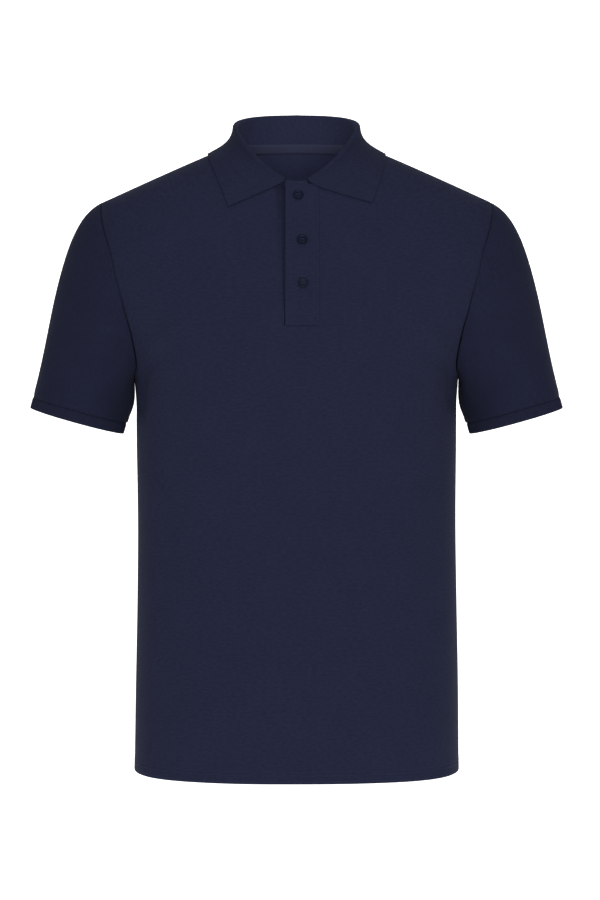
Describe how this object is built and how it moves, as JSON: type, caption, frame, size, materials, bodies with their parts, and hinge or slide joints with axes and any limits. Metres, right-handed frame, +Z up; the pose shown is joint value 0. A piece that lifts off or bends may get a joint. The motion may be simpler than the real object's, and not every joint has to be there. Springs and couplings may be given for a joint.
{
  "type": "polo shirt",
  "caption": "Navy knitted polo shirt with short sleeves, a turned-down collar, ribbed cuffs and a buttoned placket, filled out as if worn.",
  "frame": {"origin": "middle of the neck, level with the high points of the shoulders, where the shirt hangs from its wearer", "axes": "+Z up towards the collar, -Y towards the front of the shirt, +X towards the wearer's left"},
  "size_m": [0.598, 0.2477, 0.7386],
  "materials": {
    "cloth": "matt pique knit",
    "knit": "matt flat knit and rib",
    "tape": "matt woven tape",
    "button": "satin, moulded"
  },
  "bodies": {
    "root": {"front": "cloth", "back": "cloth", "sleeve_left": "cloth", "sleeve_right": "cloth", "cuff_left": "knit", "cuff_right": "knit", "collar": "knit", "placket_top": "cloth", "placket_under": "cloth", "neck_tape": "tape", "button_1": "button", "button_2": "button", "button_3": "button"}
  },
  "joints": []
}
